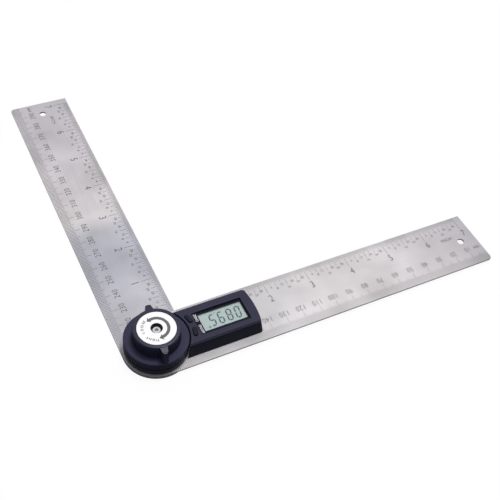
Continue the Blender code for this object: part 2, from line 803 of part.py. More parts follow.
def make_battery_door():
    """Round door flush with the arm's underside, held by two ears that turn over the arm."""
    door = disc("battery_door", door_radius, door_bottom, door_top)
    inner = battery_radius + running_gap
    for i, side in enumerate((0.0, math.pi)):
        start, end = side - ear_half_angle, side + ear_half_angle
        slack = ear_side_angle / 4
        neck = sector(inner, door_radius - film_gap, start + slack, end - slack, door_top - film_gap,
                      seat + ear_height / 2, f"door_neck_{i}")
        ear = sector(inner + film_gap, door_radius + ear_reach, start, end, seat, seat + ear_height,
                     f"door_ear_{i}")
        join(neck, ear)
        join(door, neck)
    slot = box("coin_slot", (-coin_slot_length / 2, -coin_slot_width / 2, door_bottom - overrun),
               (coin_slot_length / 2, coin_slot_width / 2, door_bottom + coin_slot_depth))
    cut(door, slot)
    return as_part(door, black_plastic, door_axis)


def make_screws():
    """Four countersunk screws, up through the arm, the base posts and the board into the cover."""
    low = door_bottom
    tip = window_bottom - running_gap
    reach = screw_head_radius / 2
    half = driver_width / 2
    for i, (x, y) in enumerate(post_places):
        screw = cone(f"housing_screw_{i + 1}", screw_head_radius, screw_radius, low,
                     low + screw_head_height, x, y, 16)
        shank = disc(f"screw_shank_{i}", screw_radius, low + screw_head_height / 2, tip, x, y, 16)
        join(screw, shank)
        for turn, (long_x, long_y) in enumerate(((half, reach), (reach, half))):
            cut(screw, box(f"driver_{i}_{turn}", (x - long_x, y - long_y, low - overrun),
                           (x + long_x, y + long_y, low + driver_depth)))
        as_part(screw, bolt_steel)


make_upper_blade()
make_lower_blade()
make_pivot_bolt()
make_washers()
make_rotor()
make_pivot_cap()
make_knob()
make_housing_base()
make_housing_cover()
make_boards()
make_display()
make_buttons()
make_battery()
make_battery_door()
make_screws()
bpy.context.view_layer.update()
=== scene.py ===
import json
import math

import bpy
from mathutils import Matrix, Vector

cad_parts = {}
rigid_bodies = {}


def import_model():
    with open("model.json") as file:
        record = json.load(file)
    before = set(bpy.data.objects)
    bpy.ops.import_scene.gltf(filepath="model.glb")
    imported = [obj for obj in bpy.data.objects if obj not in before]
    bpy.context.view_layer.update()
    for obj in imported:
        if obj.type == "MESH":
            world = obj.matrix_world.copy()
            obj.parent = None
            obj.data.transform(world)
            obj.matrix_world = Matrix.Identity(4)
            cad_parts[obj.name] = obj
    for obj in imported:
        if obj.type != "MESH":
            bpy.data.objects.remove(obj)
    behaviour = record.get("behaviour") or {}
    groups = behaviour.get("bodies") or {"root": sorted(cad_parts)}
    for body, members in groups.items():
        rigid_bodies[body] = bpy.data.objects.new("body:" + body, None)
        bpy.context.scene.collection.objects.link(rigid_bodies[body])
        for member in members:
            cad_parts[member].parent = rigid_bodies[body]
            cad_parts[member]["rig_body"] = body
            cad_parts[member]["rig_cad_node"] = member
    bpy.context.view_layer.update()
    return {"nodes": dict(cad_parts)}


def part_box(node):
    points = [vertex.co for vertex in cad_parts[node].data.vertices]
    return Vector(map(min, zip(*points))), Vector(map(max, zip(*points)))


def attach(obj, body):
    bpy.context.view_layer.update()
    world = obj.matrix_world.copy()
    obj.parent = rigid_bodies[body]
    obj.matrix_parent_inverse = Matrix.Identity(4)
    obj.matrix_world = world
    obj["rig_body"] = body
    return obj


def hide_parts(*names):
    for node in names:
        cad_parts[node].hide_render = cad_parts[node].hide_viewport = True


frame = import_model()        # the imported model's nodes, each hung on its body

nodes = frame["nodes"]
mm = 0.001
inch = 0.0254
armAngle = math.radians(89.5)     # the lower arm's angle to the upper one at rest
weldGap = 0.002 * mm              # points nearer than this are one point
print("frame loaded:", len(nodes), "nodes")


# Small steps that every piece below uses
def deselect():
    for item in list(bpy.context.selected_objects):
        item.select_set(False)
    bpy.context.view_layer.objects.active = None


def pick(*items):
    deselect()
    for item in items:
        item.select_set(True)
    bpy.context.view_layer.objects.active = items[0]


def settle(item):        # its place, turn and size go into the mesh
    pick(item)
    bpy.ops.object.transform_apply(location=True, rotation=True, scale=True)
    return item


def joined(items):
    pick(*items)
    if len(items) > 1:
        bpy.ops.object.join()
    return bpy.context.object


def applied(item, kind, **values):
    step = item.modifiers.new(kind.lower(), kind)
    for key, value in values.items():
        setattr(step, key, value)
    pick(item)
    bpy.ops.object.modifier_apply(modifier=step.name)
    return item


def cleaned(item):      # merged points, and faces that point outwards
    pick(item)
    bpy.ops.object.mode_set(mode="EDIT")
    bpy.ops.mesh.select_all(action="SELECT")
    bpy.ops.mesh.remove_doubles(threshold=weldGap)
    bpy.ops.mesh.normals_make_consistent(inside=False)
    bpy.ops.object.mode_set(mode="OBJECT")
    return item


def place(item, name, body, material):
    item.name = name
    item.data.name = name
    item.data.materials.clear()
    item.data.materials.append(material)
    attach(item, body)
    return item


edgeAngle = math.radians(32.0)     # edges sharper than this are rounded
flatAngle = math.radians(0.8)      # faces that meet flatter than this are joined


def softened(node, name, body, material, width, segments=2):
    # a copy of a node's shape with its edges rounded, standing for the node
    pick(nodes[node])
    bpy.ops.object.duplicate()
    item = bpy.context.object
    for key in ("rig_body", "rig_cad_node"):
        if key in item:
            del item[key]
    item.parent = None
    item.matrix_world = Matrix.Identity(4)
    pick(item)
    bpy.ops.mesh.customdata_custom_splitnormals_clear()
    bpy.ops.object.mode_set(mode="EDIT")
    bpy.ops.mesh.select_all(action="SELECT")
    bpy.ops.mesh.remove_doubles(threshold=weldGap)
    bpy.ops.mesh.dissolve_limited(angle_limit=flatAngle)
    bpy.ops.object.mode_set(mode="OBJECT")
    bpy.ops.object.shade_smooth_by_angle(angle=edgeAngle)
    applied(item, "BEVEL", width=width, segments=segments, limit_method="ANGLE", harden_normals=True,
            angle_limit=edgeAngle, use_clamp_overlap=True, miter_outer="MITER_ARC")
    place(item, name, body, material)
    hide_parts(node)
    return item


# Surface effects, each built once as a node group
noiseSpan = (0.3, 0.7)      # most of a noise's values lie between these
paintedShadeSpan = (0.3, 0.9)       # for the painted shade on sides: a face's share of upward; below is a side, above is a flat face
paintedReflectionLength = 0.2            # the painted reflection bands of a long piece run over this length, in metres


def addNodes(tree, **kinds):
    made = {}
    for i, (name, kind) in enumerate(kinds.items()):
        made[name] = tree.nodes.new(kind)
        made[name].location = (200 * (i % 6) - 900, -240 * (i // 6))
    return made


def grainGroup():        # fine grain that can be drawn out along X, and soft blotches
    group = bpy.data.node_groups.new("surfaceGrain", "ShaderNodeTree")
    for name, kind in (("Vector", "NodeSocketVector"), ("Stretch", "NodeSocketVector"),
                       ("Blotch Scale", "NodeSocketFloat"), ("Detail", "NodeSocketFloat")):
        group.interface.new_socket(name=name, in_out="INPUT", socket_type=kind)
    for name in ("Grain", "Blotch"):
        group.interface.new_socket(name=name, in_out="OUTPUT", socket_type="NodeSocketFloat")
    n = addNodes(group, start="NodeGroupInput", times="ShaderNodeVectorMath", fine="ShaderNodeTexNoise",
                 soft="ShaderNodeTexNoise", spread="ShaderNodeMapRange", end="NodeGroupOutput")
    n["times"].operation = "MULTIPLY"
    n["fine"].inputs["Scale"].default_value = 1.0
    n["soft"].inputs["Detail"].default_value = 2.0
    n["spread"].inputs["From Min"].default_value = noiseSpan[0]
    n["spread"].inputs["From Max"].default_value = noiseSpan[1]
    link = group.links.new
    link(n["start"].outputs["Vector"], n["times"].inputs[0])
    link(n["start"].outputs["Stretch"], n["times"].inputs[1])
    link(n["times"].outputs[0], n["fine"].inputs["Vector"])
    link(n["start"].outputs["Detail"], n["fine"].inputs["Detail"])
    link(n["start"].outputs["Vector"], n["soft"].inputs["Vector"])
    link(n["start"].outputs["Blotch Scale"], n["soft"].inputs["Scale"])
    link(n["fine"].outputs[0], n["end"].inputs["Grain"])
    link(n["soft"].outputs[0], n["spread"].inputs["Value"])
    link(n["spread"].outputs[0], n["end"].inputs["Blotch"])
    return group


def ringsGroup():        # turns a place into its distance from an axis, for turned faces
    group = bpy.data.node_groups.new("turnedRings", "ShaderNodeTree")
    group.interface.new_socket(name="Vector", in_out="INPUT", socket_type="NodeSocketVector")
    group.interface.new_socket(name="Vector", in_out="OUTPUT", socket_type="NodeSocketVector")
    n = addNodes(group, start="NodeGroupInput", flat="ShaderNodeVectorMath", length="ShaderNodeVectorMath",
                 apart="ShaderNodeSeparateXYZ", together="ShaderNodeCombineXYZ", end="NodeGroupOutput")
    n["flat"].operation = "MULTIPLY"
    n["flat"].inputs[1].default_value = (1, 1, 0)
    n["length"].operation = "LENGTH"
    link = group.links.new
    link(n["start"].outputs["Vector"], n["flat"].inputs[0])
    link(n["start"].outputs["Vector"], n["apart"].inputs[0])
    link(n["flat"].outputs[0], n["length"].inputs[0])
    link(n["length"].outputs["Value"], n["together"].inputs["Y"])
    link(n["apart"].outputs["Z"], n["together"].inputs["Z"])
    link(n["together"].outputs[0], n["end"].inputs["Vector"])
    return group


surfaceGrain = grainGroup()
turnedRings = ringsGroup()


def multiplied(tree, mix, first, second):        # the product of two colours
    mix.data_type = "RGBA"
    mix.blend_type = "MULTIPLY"
    mix.inputs["Factor"].default_value = 1.0
    tree.links.new(first, mix.inputs["A"])
    tree.links.new(second, mix.inputs["B"])
    return mix.outputs["Result"]


def makeFinish(name, dark, light, rough, stretch, blotch=120.0, metal=0.0, bump=0.0, share=0.5,
               detail=2.0, turn=0.0, centre=None, alpha=1.0, specular=0.5, coat=0.0, paintedReflections=(), paintedSideShade=1.0):
    material = bpy.data.materials.new(name)
    material.use_nodes = True
    tree = material.node_tree
    shader = tree.nodes["Principled BSDF"]
    n = addNodes(tree, coords="ShaderNodeTexCoord", mapping="ShaderNodeMapping", grain="ShaderNodeGroup",
                 blend="ShaderNodeMix", color="ShaderNodeMix", rough="ShaderNodeMapRange",
                 bump="ShaderNodeBump")
    link = tree.links.new
    n["mapping"].inputs["Rotation"].default_value[2] = -turn
    n["grain"].node_tree = surfaceGrain
    n["grain"].inputs["Stretch"].default_value = stretch
    n["grain"].inputs["Blotch Scale"].default_value = blotch
    n["grain"].inputs["Detail"].default_value = detail
    link(n["coords"].outputs["Object"], n["mapping"].inputs["Vector"])
    if centre is None:
        link(n["mapping"].outputs[0], n["grain"].inputs["Vector"])
    else:
        n["mapping"].inputs["Location"].default_value = [-value for value in centre]
        rings = tree.nodes.new("ShaderNodeGroup")
        rings.node_tree = turnedRings
        link(n["mapping"].outputs[0], rings.inputs["Vector"])
        link(rings.outputs["Vector"], n["grain"].inputs["Vector"])
    n["blend"].data_type = "FLOAT"
    n["blend"].inputs["Factor"].default_value = share      # blotches against grain in the colour
    link(n["grain"].outputs["Grain"], n["blend"].inputs["A"])
    link(n["grain"].outputs["Blotch"], n["blend"].inputs["B"])
    n["color"].data_type = "RGBA"
    n["color"].inputs["A"].default_value = (*dark, 1.0)
    n["color"].inputs["B"].default_value = (*light, 1.0)
    link(n["blend"].outputs["Result"], n["color"].inputs["Factor"])
    base = n["color"].outputs["Result"]
    if paintedReflections:        # painted reflection: a slow change of tone along the piece, brighter and darker bands standing in for reflected light
        t = addNodes(tree, apart="ShaderNodeSeparateXYZ", along="ShaderNodeMapRange",
                     ramp="ShaderNodeValToRGB", tint="ShaderNodeMix")
        t["along"].inputs["From Max"].default_value = paintedReflectionLength
        stops = t["ramp"].color_ramp.elements
        while len(stops) < len(paintedReflections):
            stops.new(0.5)
        for stop, (position, tone) in zip(stops, paintedReflections):
            stop.position = position
            stop.color = (*tone, 1.0)
        link(n["mapping"].outputs[0], t["apart"].inputs[0])
        link(t["apart"].outputs["X"], t["along"].inputs["Value"])
        link(t["along"].outputs[0], t["ramp"].inputs["Fac"])
        base = multiplied(tree, t["tint"], base, t["ramp"].outputs["Color"])
    if paintedSideShade < 1.0:        # painted shade: upright sides are darker than flat faces
        s = addNodes(tree, facing="ShaderNodeSeparateXYZ", level="ShaderNodeMath",
                     flat="ShaderNodeMapRange", shade="ShaderNodeMix")
        s["level"].operation = "ABSOLUTE"
        s["flat"].inputs["From Min"].default_value = paintedShadeSpan[0]
        s["flat"].inputs["From Max"].default_value = paintedShadeSpan[1]
        s["flat"].inputs["To Min"].default_value = paintedSideShade
        link(n["coords"].outputs["Normal"], s["facing"].inputs[0])
        link(s["facing"].outputs["Z"], s["level"].inputs[0])
        link(s["level"].outputs[0], s["flat"].inputs["Value"])
        base = multiplied(tree, s["shade"], base, s["flat"].outputs[0])
    link(base, shader.inputs["Base Color"])
    n["rough"].inputs["From Min"].default_value = noiseSpan[0]
    n["rough"].inputs["From Max"].default_value = noiseSpan[1]
    n["rough"].inputs["To Min"].default_value = rough[0]
    n["rough"].inputs["To Max"].default_value = rough[1]
    link(n["grain"].outputs["Grain"], n["rough"].inputs["Value"])
    link(n["rough"].outputs[0], shader.inputs["Roughness"])
    if bump:
        n["bump"].inputs["Strength"].default_value = 1.0
        n["bump"].inputs["Distance"].default_value = bump
        link(n["grain"].outputs["Grain"], n["bump"].inputs["Height"])
        link(n["bump"].outputs[0], shader.inputs["Normal"])
    else:
        tree.nodes.remove(n["bump"])
    shader.inputs["Metallic"].default_value = metal
    shader.inputs["Alpha"].default_value = alpha
    shader.inputs["Specular IOR Level"].default_value = specular
    shader.inputs["Coat Weight"].default_value = coat
    return material


# Looks: two colours in linear light, two roughnesses, and how finely the grain runs along X, Y and Z
steelLook = {"dark": (0.44, 0.435, 0.44), "light": (0.73, 0.72, 0.73), "rough": (0.50, 0.62),
             "stretch": (45.0, 2400.0, 2400.0), "blotch": 38.0, "metal": 1.0, "bump": 0.0006 * mm,
             "share": 0.5, "detail": 3.0}
# the tone bands along each arm are painted reflection: brighter and darker stretches that stand in for the
# light the steel reflects
upperSteel = makeFinish("groundSteelUpper", **steelLook, paintedReflections=(
    (0.25, (0.76, 0.755, 0.77)), (0.55, (0.86, 0.845, 0.85)), (0.72, (0.91, 0.89, 0.90)),
    (0.86, (0.88, 0.86, 0.88)), (0.98, (0.75, 0.74, 0.77))))
# the lower arm's upright sides carry painted shade, darker than its flat faces
lowerSteel = makeFinish("groundSteelLower", turn=armAngle, paintedSideShade=0.8, **steelLook, paintedReflections=(
    (0.12, (0.66, 0.665, 0.71)), (0.34, (0.67, 0.685, 0.76)), (0.42, (0.72, 0.73, 0.78)),
    (0.48, (0.97, 0.955, 0.96)), (0.92, (0.94, 0.92, 0.97))))
etchedInk = makeFinish("etchedInk", (0.05, 0.05, 0.055), (0.10, 0.10, 0.105), (0.5, 0.7),
                       (3000.0, 3000.0, 3000.0), metal=0.3)
# the housing, cap and knob plastics carry painted shade: their upright sides are darker than their flat faces
housingPlastic = makeFinish("housingPlastic", (0.022, 0.022, 0.046), (0.030, 0.030, 0.062), (0.28, 0.38),
                            (5200.0, 5200.0, 5200.0), bump=0.003 * mm, specular=0.16, paintedSideShade=0.5)
capPlastic = makeFinish("capPlastic", (0.024, 0.024, 0.056), (0.032, 0.032, 0.072), (0.30, 0.42),
                        (5200.0, 5200.0, 5200.0), bump=0.003 * mm, specular=0.16, paintedSideShade=0.7)
knobPlastic = makeFinish("knobPlastic", (0.022, 0.022, 0.048), (0.030, 0.030, 0.064), (0.28, 0.38),
                         (5600.0, 5600.0, 5600.0), bump=0.0025 * mm, specular=0.22, paintedSideShade=0.8)
# the keys are painted much darker than the housing: painted shade that stands in for the shadow in the gaps
# round them
keyPlasticPaintedShade = makeFinish("keyPlasticPaintedShade", (0.010, 0.010, 0.020), (0.015, 0.015, 0.028), (0.46, 0.56),
                        (5200.0, 5200.0, 5200.0), bump=0.002 * mm, specular=0.10)
labelFilm = makeFinish("labelFilm", (0.90, 0.90, 0.90), (0.95, 0.95, 0.95), (0.40, 0.50),
                       (2600.0, 2600.0, 2600.0), bump=0.001 * mm, specular=0.4)
labelInk = makeFinish("labelInk", (0.10, 0.095, 0.10), (0.15, 0.145, 0.15), (0.5, 0.6),
                      (2600.0, 2600.0, 2600.0), specular=0.3)
labelWordInk = makeFinish("labelWordInk", (0.020, 0.020, 0.022), (0.040, 0.040, 0.042), (0.5, 0.6),
                          (2600.0, 2600.0, 2600.0), specular=0.3)
windowClear = makeFinish("windowClear", (0.70, 0.74, 0.76), (0.78, 0.80, 0.82), (0.04, 0.08),
                         (400.0, 400.0, 400.0), alpha=0.06)
windowInk = makeFinish("windowInk", (0.006, 0.006, 0.012), (0.010, 0.010, 0.018), (0.14, 0.22),
                       (900.0, 900.0, 900.0), specular=0.12)
windowWordInk = makeFinish("windowWordInk", (0.68, 0.68, 0.74), (0.78, 0.78, 0.84), (0.3, 0.4),
                           (2600.0, 2600.0, 2600.0))
displayGlass = makeFinish("displayGlass", (0.360, 0.490, 0.465), (0.410, 0.520, 0.505), (0.22, 0.30),
                          (9000.0, 9000.0, 9000.0), blotch=60.0, share=0.8, specular=0.3)
displayInk = makeFinish("displayInk", (0.022, 0.042, 0.048), (0.034, 0.060, 0.066), (0.35, 0.45),
                        (3000.0, 3000.0, 3000.0), specular=0.2)
boltSteel = makeFinish("boltSteel", (0.50, 0.50, 0.52), (0.66, 0.66, 0.68), (0.22, 0.32),
                       (1.0, 9000.0, 3000.0), metal=1.0, bump=0.0005 * mm, centre=(0, 0, 0))
screwSteel = makeFinish("screwSteel", (0.46, 0.46, 0.48), (0.62, 0.62, 0.64), (0.26, 0.36),
                        (2500.0, 2500.0, 2500.0), metal=1.0, bump=0.0005 * mm)
springSteel = makeFinish("springSteel", (0.60, 0.58, 0.53), (0.74, 0.72, 0.66), (0.24, 0.34),
                         (200.0, 5000.0, 5000.0), metal=1.0, bump=0.0003 * mm)
slipPlastic = makeFinish("slipPlastic", (0.76, 0.76, 0.74), (0.84, 0.84, 0.82), (0.46, 0.56),
                         (3000.0, 3000.0, 3000.0), bump=0.001 * mm)
brass = makeFinish("brass", (0.62, 0.44, 0.18), (0.78, 0.58, 0.28), (0.26, 0.38),
                   (1.0, 8000.0, 2000.0), metal=1.0, bump=0.0005 * mm, centre=(0, 0, 0))
greenBoard = makeFinish("greenBoard", (0.018, 0.13, 0.05), (0.035, 0.22, 0.09), (0.30, 0.46),
                        (700.0, 700.0, 700.0), bump=0.002 * mm, coat=0.2)
ribbonFilm = makeFinish("ribbonFilm", (0.50, 0.24, 0.05), (0.66, 0.36, 0.09), (0.26, 0.36),
                        (60.0, 3200.0, 400.0))
chipResin = makeFinish("chipResin", (0.012, 0.012, 0.013), (0.024, 0.024, 0.026), (0.5, 0.65),
                       (5000.0, 5000.0, 5000.0), bump=0.002 * mm)
connectorRubber = makeFinish("connectorRubber", (0.62, 0.46, 0.48), (0.78, 0.64, 0.66), (0.55, 0.65),
                             (4500.0, 100.0, 100.0))
cellSteel = makeFinish("cellSteel", (0.60, 0.60, 0.62), (0.74, 0.74, 0.76), (0.18, 0.28),
                       (1.0, 5000.0, 3000.0), metal=1.0, bump=0.0003 * mm, centre=(36.1 * mm, 0, 0))
print("finishes made")

keptNodes = {        # nodes shown with their own shape
    "battery_clip": springSteel, "battery_spring": springSteel, "circuit_board": greenBoard,
    "coin_cell": cellSteel, "control_chip": chipResin, "display_connector_inner": connectorRubber,
    "display_connector_outer": connectorRubber, "display_panel": displayGlass,
    "display_window": windowClear, "housing_screw_1": screwSteel, "housing_screw_2": screwSteel,
    "housing_screw_3": screwSteel, "housing_screw_4": screwSteel, "knob_insert": brass,
    "knob_label": labelFilm, "pivot_bolt": boltSteel, "power_dome": springSteel,
    "rotor_disc": greenBoard, "rotor_hub": brass, "sensor_ribbon": ribbonFilm,
    "slip_washer": slipPlastic, "stator_board": greenBoard, "thrust_washer": springSteel,
    "zero_dome": springSteel,
}
for node, material in keptNodes.items():
    nodes[node].data.materials.clear()
    nodes[node].data.materials.append(material)

# Outer shells with rounded edges
softened("upper_blade", "upper_rule", "display_arm", upperSteel, 0.08 * mm)
softened("lower_blade", "lower_rule", "swing_arm", lowerSteel, 0.08 * mm)
softened("housing_cover", "head_cover", "display_arm", housingPlastic, 0.18 * mm, 3)
softened("housing_base", "head_base", "display_arm", housingPlastic, 0.12 * mm)
softened("pivot_cap", "ribbed_cap", "swing_arm", capPlastic, 0.07 * mm)
softened("knob_body", "winged_knob", "knob", knobPlastic, 0.10 * mm)
softened("zero_button", "zero_key_bar", "zero_key", keyPlasticPaintedShade, 0.22 * mm, 3)
softened("power_button", "power_key_bar", "power_key", keyPlasticPaintedShade, 0.22 * mm, 3)
softened("battery_door", "battery_cover", "door", housingPlastic, 0.10 * mm)
print("shells softened")

# Printed and etched marks: thin closed film, a hair above the face that carries it
film = {
    "lift": 0.005 * mm, "thickness": 0.020 * mm,
    "capShare": 0.72,        # a capital's height against the font's size
    "digitShare": 0.80,      # the rule's digits are narrower than the font's
}


def word(body, height, x, y, z, turn, squeeze=1.0, spacing=1.0, weight=0.0):
    bpy.ops.object.text_add(location=(x, y, z), rotation=(0, 0, turn))
    item = bpy.context.object
    item.data.body = body
    item.data.align_x = "CENTER"
    item.data.align_y = "CENTER"
    item.data.size = height / film["capShare"]
    item.data.space_character = spacing
    item.data.resolution_u = 3              # few faces in each small curve
    item.data.offset = weight * height      # strokes heavier or finer than the font's own
    item.data.extrude = film["thickness"] / 2
    item.scale = (squeeze, 1, 1)
    return item


def wordsToMesh(items):
    pick(*items)
    bpy.ops.object.convert(target="MESH")
    made = joined(list(bpy.context.selected_objects))
    return cleaned(settle(made))


def tick(x, y, z, width, length, repeats):
    # one mark, then arrays of it: repeats holds (step, count) from the inner row outwards
    bpy.ops.mesh.primitive_cube_add(size=1, location=(x, y, z), scale=(width, length, film["thickness"]))
    item = settle(bpy.context.object)
    for step, count in repeats:
        applied(item, "ARRAY", count=count, use_relative_offset=False, use_constant_offset=True,
                constant_offset_displace=(step, 0, 0))
    return item


scale = {
    "halfWidth": 17.5 * mm, "edgeGap": 0.3 * mm,
    "tickWidth": 0.17 * mm, "inchStart": 17.5 * mm,
    "metric": (        # first place, length from the edge, repeats, all in mm
        (10.0, 7.8, ((10.0, 19),)),
        (5.0, 6.2, ((10.0, 20),)),
        (1.0, 4.85, ((1.0, 4), (5.0, 40))),
    ),
    "inches": (        # first place, length from the edge in mm, step and count, in inches
        (1.0, 9.3, 1.0, 7),
        (0.5, 7.2, 1.0, 7),
        (0.25, 5.75, 0.5, 14),
        (0.125, 4.6, 0.25, 28),
        (0.0625, 3.5, 0.125, 56),
        (0.03125, 2.4, 0.0625, 112),
    ),
    "numberY": 6.6 * mm, "numberHeight": 3.4 * mm, "numberWeight": -0.014, "numberSpacing": 1.1,
    "numberStep": 10, "numbers": 19, "zeroAt": 200,
    "inchCount": 7, "inchY": 4.8 * mm, "inchHeight": 4.5 * mm, "inchWeight": -0.010,
    "smallHeight": 1.55 * mm, "smallY": (11.4 * mm, 9.85 * mm, 8.4 * mm),      # eighths, quarters, halves
    "unitX": 196.2 * mm, "unitHeight": 2.2 * mm, "unitWeight": -0.008, "unitSqueeze": 0.8,
    "legendX": 182.5 * mm, "legendY": 4.0 * mm, "legendHeight": 2.0 * mm, "wordSpacing": 1.15,
}


def armMarks(side, top, hiddenTo):
    # side: +1 where the metric edge is at +Y of the arm's own frame, -1 where it is at -Y;
    # hiddenTo: the numbers up to here lie under the head or the cap and are left out
    z = top + film["lift"] + film["thickness"] / 2
    edge = scale["halfWidth"] - scale["edgeGap"]
    rows = []
    for first, length, repeats in scale["metric"]:
        reach = length * mm - scale["edgeGap"]
        steps = [(step * mm, count) for step, count in repeats]
        rows.append(tick(first * mm, side * (edge - reach / 2), z, scale["tickWidth"], reach, steps))
    for first, length, step, count in scale["inches"]:
        reach = length * mm - scale["edgeGap"]
        x = scale["inchStart"] + first * inch
        rows.append(tick(x, -side * (edge - reach / 2), z, scale["tickWidth"], reach, [(step * inch, count)]))
    ticks = joined(rows)
    up = math.pi if side < 0 else 0.0         # metric numbers have their tops to the metric edge
    words = []
    for i in range(1, scale["numbers"] + 1):
        value = scale["zeroAt"] + side * i * scale["numberStep"]
        x = i * scale["numberStep"] * mm
        if x > hiddenTo:
            words.append(word(str(value), scale["numberHeight"], x, side * scale["numberY"], z, up,
                              film["digitShare"], scale["numberSpacing"], scale["numberWeight"]))
    words.append(word("MM", scale["unitHeight"], scale["unitX"], side * scale["numberY"], z, up,
                      scale["unitSqueeze"], scale["wordSpacing"], scale["unitWeight"]))
    away = up + math.pi
    for i in range(1, 8 * scale["inchCount"] + 1):      # every eighth, numbered in 32nds
        x = scale["inchStart"] + i * inch / 8
        if x < hiddenTo:
            continue
        if i % 8 == 0:
            words.append(word(str(i // 8), scale["inchHeight"], x, -side * scale["inchY"], z, away,
                              film["digitShare"], 1.0, scale["inchWeight"]))
        else:
            y = scale["smallY"][0 if i % 2 else 1 if i % 4 else 2]
            words.append(word(str(i % 8 * 4), scale["smallHeight"], x, -side * y, z, away))
    words.append(word("INCH", scale["legendHeight"], scale["legendX"], -side * scale["legendY"], z, away,
                      spacing=scale["wordSpacing"]))
    return ticks, wordsToMesh(words)


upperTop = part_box("upper_blade")[1].z
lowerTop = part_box("lower_blade")[1].z
arms = (        # side, top, hiddenTo, turn, body, first word of the pieces' names
    (-1, upperTop, 57.5 * mm, 0.0, "display_arm", "upper"),
    (1, lowerTop, 17.6 * mm, armAngle, "swing_arm", "lower"),
)
for side, top, hiddenTo, turn, body, prefix in arms:
    ticks, numbers = armMarks(side, top, hiddenTo)
    for item, kind in ((ticks, "graduations"), (numbers, "numbers")):
        item.rotation_euler.z = turn
        settle(item)
        place(item, f"{prefix}_{kind}", body, etchedInk)
print("arms graduated")

# Label on the knob: a curved arrow with two heads, and two words
label = {
    "top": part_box("knob_label")[1].z, "inner": 5.2 * mm, "outer": 6.8 * mm,
    "start": math.radians(-81.0), "end": math.radians(103.5), "steps": 48,
    "heads": (        # degrees, turn in degrees, middle radius, width, length in mm
        (103.5, 109.0, 6.03, 3.35, 1.75), (-81.0, 91.0, 6.05, 3.5, 1.95)),
    "wordRadius": 7.1 * mm, "wordHeight": 1.35 * mm, "weight": 0.03,
    "letters": (("L", -177.1), ("O", 166.9), ("O", 150.3), ("S", 135.4), ("E", 125.6),
                ("T", -105.5), ("I", -113.6), ("G", -123.5), ("H", -137.6), ("T", -150.1)),
}


def makeBand(inner, outer, sweep, steps, z):
    # a flat ring sector from the +X axis round to the sweep, from one edge that is spun
    wide = outer - inner
    bpy.ops.mesh.primitive_plane_add(size=wide, location=((outer + inner) / 2, -wide / 2, z))
    band = settle(bpy.context.object)
    pick(band)
    bpy.ops.object.mode_set(mode="EDIT")
    bpy.ops.mesh.select_mode(type="VERT")
    bpy.ops.mesh.select_all(action="DESELECT")
    bpy.ops.object.mode_set(mode="OBJECT")
    for vertex in band.data.vertices:
        vertex.select = vertex.co.y < -wide / 2
    bpy.ops.object.mode_set(mode="EDIT")
    bpy.ops.mesh.delete(type="VERT")
    bpy.ops.mesh.select_all(action="SELECT")
    bpy.ops.mesh.spin(steps=steps, angle=sweep, center=(0, 0, z), axis=(0, 0, -1))
    bpy.ops.object.mode_set(mode="OBJECT")
    return band


def makeArrow():
    z = label["top"] + film["lift"]
    band = makeBand(label["inner"], label["outer"], label["end"] - label["start"], label["steps"], z)
    band.rotation_euler.z = label["start"]
    pieces = [settle(band)]
    for angle, turn, radius, width, length in label["heads"]:
        way = 1 if angle > 0 else -1
        a = math.radians(angle)
        base = Vector((radius * mm * math.cos(a), radius * mm * math.sin(a), z))
        along = Vector((-math.sin(a), math.cos(a), 0)) * way
        bpy.ops.mesh.primitive_circle_add(vertices=3, radius=1.0, fill_type="NGON")
        head = bpy.context.object
        head.scale = (width * mm / math.sqrt(3), length * mm / 1.5, 1)
        head.location = base + along * length * mm / 3
        head.rotation_euler.z = math.radians(turn)
        pieces.append(settle(head))
    for piece in pieces:
        cleaned(piece)
        if piece.data.polygons[0].normal.z < 0:
            pick(piece)
            bpy.ops.object.mode_set(mode="EDIT")
            bpy.ops.mesh.select_all(action="SELECT")
            bpy.ops.mesh.flip_normals()
            bpy.ops.object.mode_set(mode="OBJECT")
        applied(piece, "SOLIDIFY", thickness=film["thickness"], offset=1.0)
    # the heads overlap the band a little, so they lie a hair higher
    for i, piece in enumerate(pieces):
        piece.location.z = film["lift"] / 4 * i
        settle(piece)
    return joined(pieces)


place(makeArrow(), "label_arrow", "knob", labelInk)
letters = []
letterZ = label["top"] + film["lift"] + film["thickness"] / 2
for letter, angle in label["letters"]:
    a = math.radians(angle)
    letters.append(word(letter, label["wordHeight"], label["wordRadius"] * math.cos(a),
                        label["wordRadius"] * math.sin(a), letterZ, a - math.pi / 2, weight=label["weight"]))
place(wordsToMesh(letters), "label_words", "knob", labelWordInk)
print("label printed")

# Window: a dark printed border with two words, round the clear opening
window = {        # the recess and the opening are given by left, right, low and high
    "recess": (21.65 * mm, 49.35 * mm, -7.4 * mm, 6.7 * mm), "edgeGap": 0.05 * mm, "inset": 0.3 * mm,
    "opening": (24.5 * mm, 48.45 * mm, -5.5 * mm, 5.1 * mm),
    "wordX": 23.15 * mm, "wordHeight": 1.38 * mm, "weight": 0.022,
    "words": (("ZERO", 4.0 * mm, 0.98), ("ON/OFF", -3.4 * mm, 0.80)),
}
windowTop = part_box("display_window")[1].z


